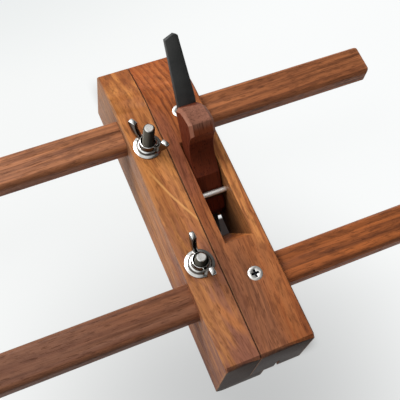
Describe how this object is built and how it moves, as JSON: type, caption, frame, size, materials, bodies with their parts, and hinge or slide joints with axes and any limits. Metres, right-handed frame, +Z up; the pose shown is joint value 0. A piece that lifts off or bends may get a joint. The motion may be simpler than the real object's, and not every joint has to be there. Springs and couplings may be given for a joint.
{
  "type": "plough plane",
  "caption": "Wooden plane for cutting grooves: a stock with skates, a wedged narrow iron, and a fence that slides on two arms and is clamped with wing nuts.",
  "frame": {"origin": "on the underside of the fence, at the stock's left face, half way along the plane", "axes": "+X to the stock's right along the arms, +Y from toe to heel, +Z up; Z = 0 is the level of the skates' edges and the fence's underside"},
  "size_m": [0.34, 0.232, 0.1252],
  "materials": {
    "stock_wood": "oiled, reddish brown with dark streaks",
    "fence_wood": "oiled, orange brown with wavy figure",
    "arm_wood": "oiled, straight grain",
    "wedge_wood": "oiled, worn edges",
    "black_steel": "forged black",
    "bright_steel": "ground",
    "zinc_steel": "zinc plated, handled"
  },
  "bodies": {
    "root": {"stock": "stock_wood", "front_arm": "arm_wood", "rear_arm": "arm_wood", "front_arm_screw": "zinc_steel", "rear_arm_screw": "zinc_steel", "wedge_pin": "bright_steel", "front_skate": "bright_steel", "rear_skate": "bright_steel", "front_skate_pins": "bright_steel", "rear_skate_pins": "bright_steel"},
    "fence_body": {"fence": "fence_wood", "front_clamp_plate": "zinc_steel", "rear_clamp_plate": "zinc_steel", "front_clamp_stud": "zinc_steel", "rear_clamp_stud": "zinc_steel", "front_washer": "zinc_steel", "rear_washer": "zinc_steel"},
    "front_nut_body": {"front_wing_nut": "zinc_steel"},
    "rear_nut_body": {"rear_wing_nut": "zinc_steel"},
    "wedge_body": {"wedge": "wedge_wood"},
    "iron_body": {"iron": "black_steel"}
  },
  "joints": [
    {"name": "fence_slide", "type": "slide", "parent": "root", "child": "fence_body", "axis": [-1, 0, 0], "range_m": [0, 0.13]},
    {"name": "front_nut_turn", "type": "hinge", "parent": "fence_body", "child": "front_nut_body", "pos_m": [-0.012, -0.0448, 0.0656], "axis": [0, 0, 1], "range_deg": [0, 720]},
    {"name": "rear_nut_turn", "type": "hinge", "parent": "fence_body", "child": "rear_nut_body", "pos_m": [-0.012, 0.047, 0.0656], "axis": [0, 0, 1], "range_deg": [0, 720]},
    {"name": "wedge_slide", "type": "slide", "parent": "root", "child": "wedge_body", "axis": [0, 0.6428, 0.766], "range_m": [0, 0.09]},
    {"name": "iron_slide", "type": "slide", "parent": "root", "child": "iron_body", "axis": [0, 0.6428, 0.766], "range_m": [-0.002, 0.1]}
  ]
}
